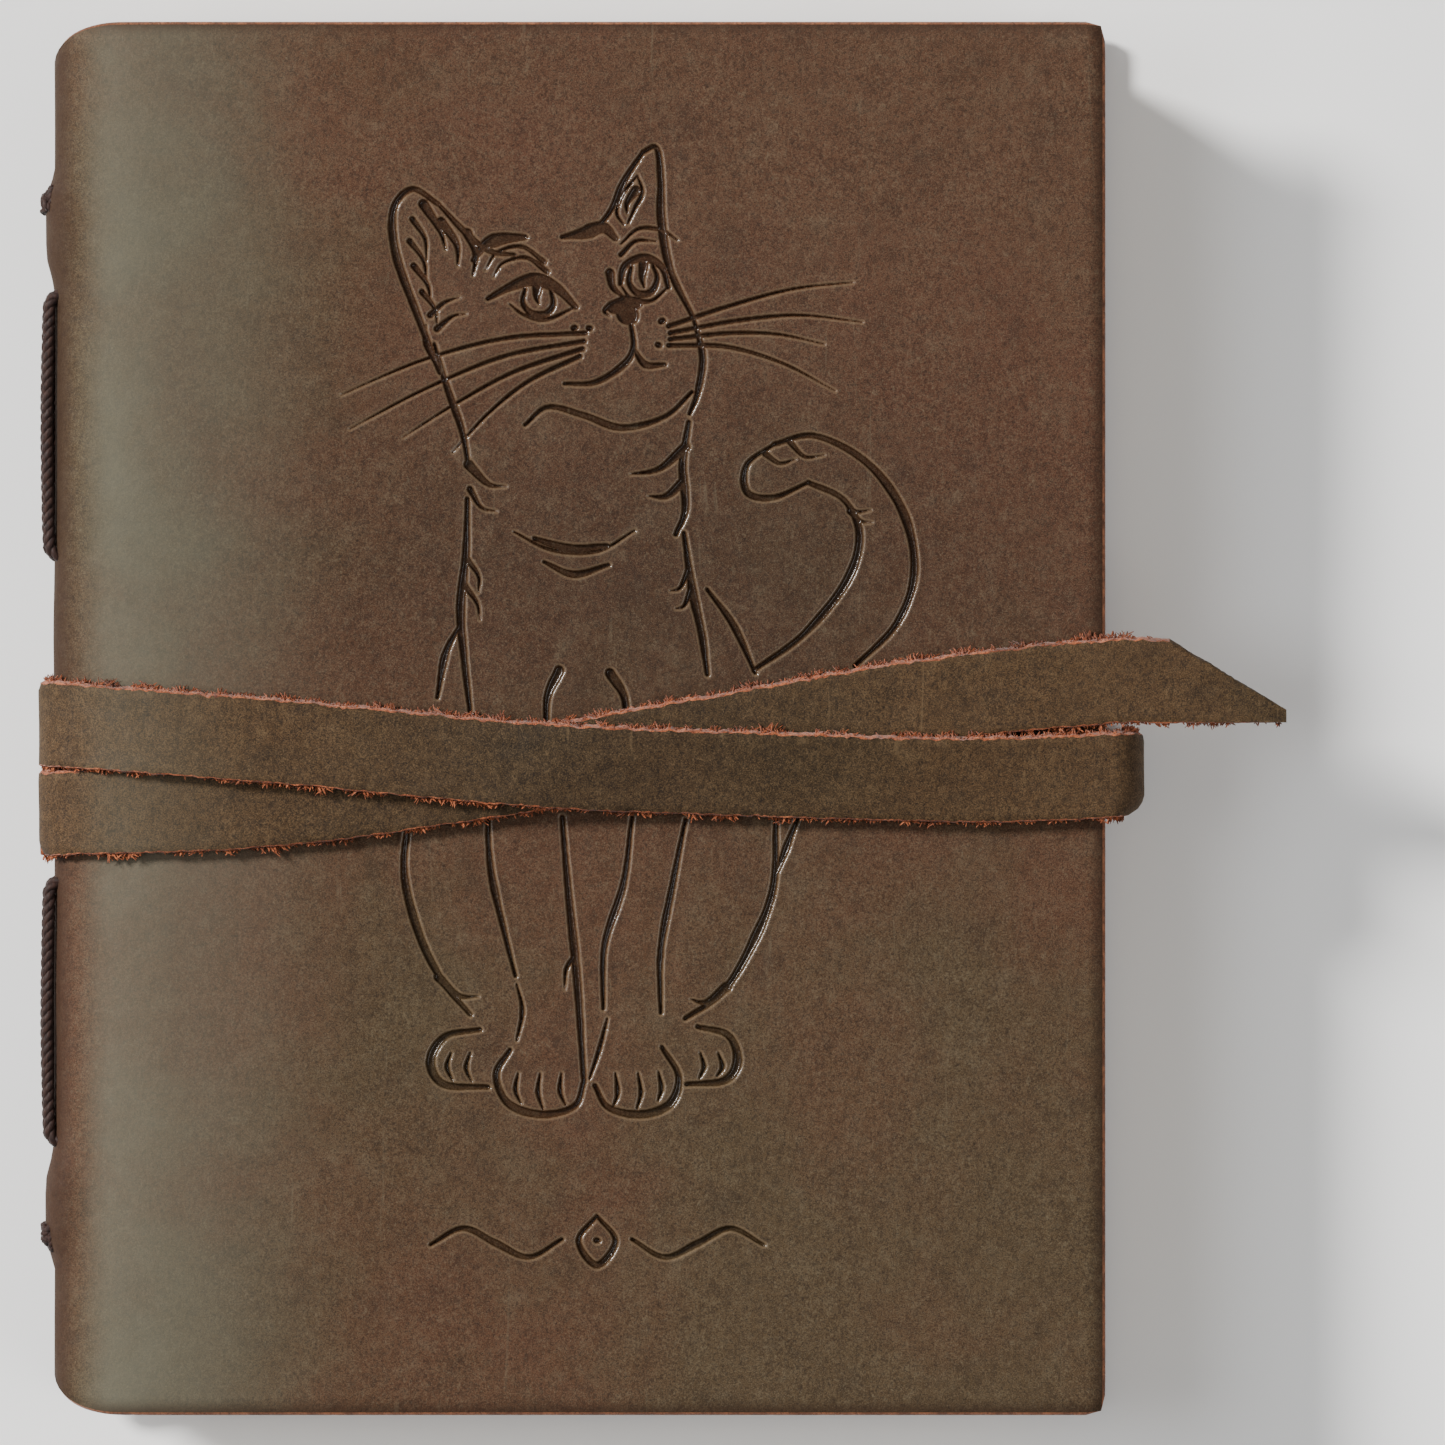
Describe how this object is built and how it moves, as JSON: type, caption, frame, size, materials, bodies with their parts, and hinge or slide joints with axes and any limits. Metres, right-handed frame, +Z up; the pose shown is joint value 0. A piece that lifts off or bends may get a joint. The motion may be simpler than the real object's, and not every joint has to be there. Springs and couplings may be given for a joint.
{
  "type": "leather notebook cover",
  "caption": "Leather wrap notebook: soft cover long-stitched to folded paper signatures, closed by a flat leather strap wound round it and tucked in.",
  "frame": {"origin": "centre of the whole object's box in X and Y, on the surface it lies on", "axes": "+X from the spine to the fore-edge, +Y to the head of the book, +Z up out of the front cover"},
  "size_m": [0.1826, 0.2032, 0.0352],
  "materials": {
    "cover_leather": "waxed pull-up leather, soft sheen",
    "strap_leather": "waxed leather strip with raw rust-coloured cut edges",
    "paper": "uncoated cream writing paper",
    "waxed_thread": "dark brown waxed twisted cord"
  },
  "bodies": {
    "back_half": {"back_cover": "cover_leather", "signature_4": "paper", "signature_5": "paper", "signature_6": "paper", "sewing_thread_4": "waxed_thread", "sewing_thread_5": "waxed_thread", "sewing_thread_6": "waxed_thread", "strap_anchor_run": "strap_leather", "anchor_stitch_1": "waxed_thread", "anchor_stitch_2": "waxed_thread", "anchor_stitch_3": "waxed_thread", "anchor_stitch_4": "waxed_thread"},
    "front_half": {"front_cover": "cover_leather", "signature_1": "paper", "signature_2": "paper", "signature_3": "paper", "sewing_thread_1": "waxed_thread", "sewing_thread_2": "waxed_thread", "sewing_thread_3": "waxed_thread"},
    "strap_spine_1": {"strap_spine_run_1": "strap_leather"},
    "strap_front": {"strap_front_run": "strap_leather"},
    "strap_fore_edge": {"strap_fore_edge_run": "strap_leather"},
    "strap_back": {"strap_back_run": "strap_leather"},
    "strap_spine_2": {"strap_spine_run_2": "strap_leather"},
    "strap_tail": {"strap_tail": "strap_leather"}
  },
  "joints": [
    {"name": "book_opening", "type": "hinge", "parent": "back_half", "child": "front_half", "pos_m": [-0.09165, 0, 0.01645], "axis": [0, -1, 0], "range_deg": [0, 180]},
    {"name": "strap_bend_1", "type": "hinge", "parent": "back_half", "child": "strap_spine_1", "pos_m": [-0.08787, 0, 0.00279], "axis": [0, -1, 0], "range_deg": [0, 90], "deforming": ["strap_spine_run_1"]},
    {"name": "strap_bend_2", "type": "hinge", "parent": "strap_spine_1", "child": "strap_front", "pos_m": [-0.08787, 0, 0.03241], "axis": [0, -1, 0], "range_deg": [0, 90], "deforming": ["strap_front_run"]},
    {"name": "strap_bend_3", "type": "hinge", "parent": "strap_front", "child": "strap_fore_edge", "pos_m": [0.06838, 0, 0.03313], "axis": [0, -1, 0], "range_deg": [0, 90], "deforming": ["strap_fore_edge_run"]},
    {"name": "strap_bend_4", "type": "hinge", "parent": "strap_fore_edge", "child": "strap_back", "pos_m": [0.06838, 0, 0.00208], "axis": [0, -1, 0], "range_deg": [0, 90], "deforming": ["strap_back_run"]},
    {"name": "strap_bend_5", "type": "hinge", "parent": "strap_back", "child": "strap_spine_2", "pos_m": [-0.08787, 0, 0.00279], "axis": [0, -1, 0], "range_deg": [0, 90], "deforming": ["strap_spine_run_2"]},
    {"name": "strap_bend_6", "type": "hinge", "parent": "strap_spine_2", "child": "strap_tail", "pos_m": [-0.08787, 0, 0.03011], "axis": [0, -1, 0], "range_deg": [0, 90], "deforming": ["strap_tail"]}
  ],
  "couplings": [
    {"joint": "strap_bend_1", "follows": "book_opening", "ratio": 0.5},
    {"joint": "strap_bend_2", "follows": "book_opening", "ratio": 0.5},
    {"joint": "strap_bend_3", "follows": "book_opening", "ratio": 0.5},
    {"joint": "strap_bend_4", "follows": "book_opening", "ratio": 0.5},
    {"joint": "strap_bend_5", "follows": "book_opening", "ratio": 0.5},
    {"joint": "strap_bend_6", "follows": "book_opening", "ratio": 0.5}
  ]
}
